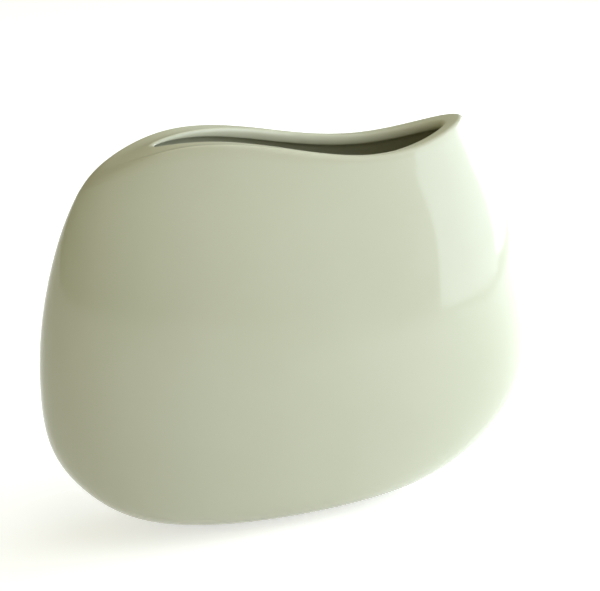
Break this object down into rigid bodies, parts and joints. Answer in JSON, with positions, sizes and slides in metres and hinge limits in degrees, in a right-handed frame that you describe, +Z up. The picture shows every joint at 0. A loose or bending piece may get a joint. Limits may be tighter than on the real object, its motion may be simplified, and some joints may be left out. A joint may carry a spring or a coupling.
{
  "type": "pillow vase",
  "caption": "Tall cushion-shaped pouch vase in glossy pale glaze, drawn in to a long lens-shaped mouth with a waved lip; holds water and cut stems.",
  "frame": {"origin": "on the table plane, under the middle of the vase's width and depth", "axes": "+Z up out of the mouth, +X along the width towards the higher right-hand tip of the rim, +Y through the depth towards the back"},
  "size_m": [0.35, 0.1322, 0.2706],
  "materials": {
    "glaze": "glossy ivory glaze with a faint green cast over stoneware, smooth and unpatterned",
    "bare_clay": "unglazed fired stoneware, fine matt",
    "felt": "pressed wool felt, dark grey, self-adhesive on top"
  },
  "bodies": {
    "root": {"vase_body": "glaze", "foot_ring": "bare_clay", "foot_pad_1": "felt", "foot_pad_2": "felt", "foot_pad_3": "felt", "foot_pad_4": "felt"}
  },
  "joints": []
}
